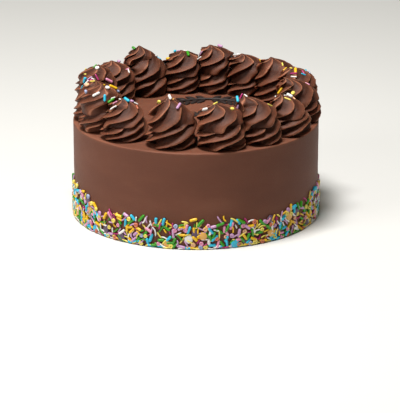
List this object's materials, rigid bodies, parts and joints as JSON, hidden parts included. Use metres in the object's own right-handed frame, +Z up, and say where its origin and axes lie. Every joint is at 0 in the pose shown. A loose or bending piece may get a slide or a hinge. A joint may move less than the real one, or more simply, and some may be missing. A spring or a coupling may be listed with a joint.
{
  "type": "layer cake",
  "caption": "Tall round chocolate cake, iced smooth, with a ring of piped swirls on top, a piped ornament and coloured sugar sprinkles round its foot.",
  "frame": {"origin": "middle of the flat bottom of the cake", "axes": "+Z up; -Y is the side seen in the picture; +X is to the right of that view"},
  "size_m": [0.2169, 0.2171, 0.1263],
  "materials": {
    "chocolate_icing": null,
    "dark_chocolate": null,
    "sugar_sprinkles": null
  },
  "bodies": {
    "root": {"cake": "chocolate_icing", "swirl_01": "chocolate_icing", "swirl_02": "chocolate_icing", "swirl_03": "chocolate_icing", "swirl_04": "chocolate_icing", "swirl_05": "chocolate_icing", "swirl_06": "chocolate_icing", "swirl_07": "chocolate_icing", "swirl_08": "chocolate_icing", "swirl_09": "chocolate_icing", "swirl_10": "chocolate_icing", "swirl_11": "chocolate_icing", "swirl_12": "chocolate_icing", "swirl_13": "chocolate_icing", "swirl_14": "chocolate_icing", "swirl_15": "chocolate_icing", "swirl_16": "chocolate_icing"}
  },
  "joints": []
}
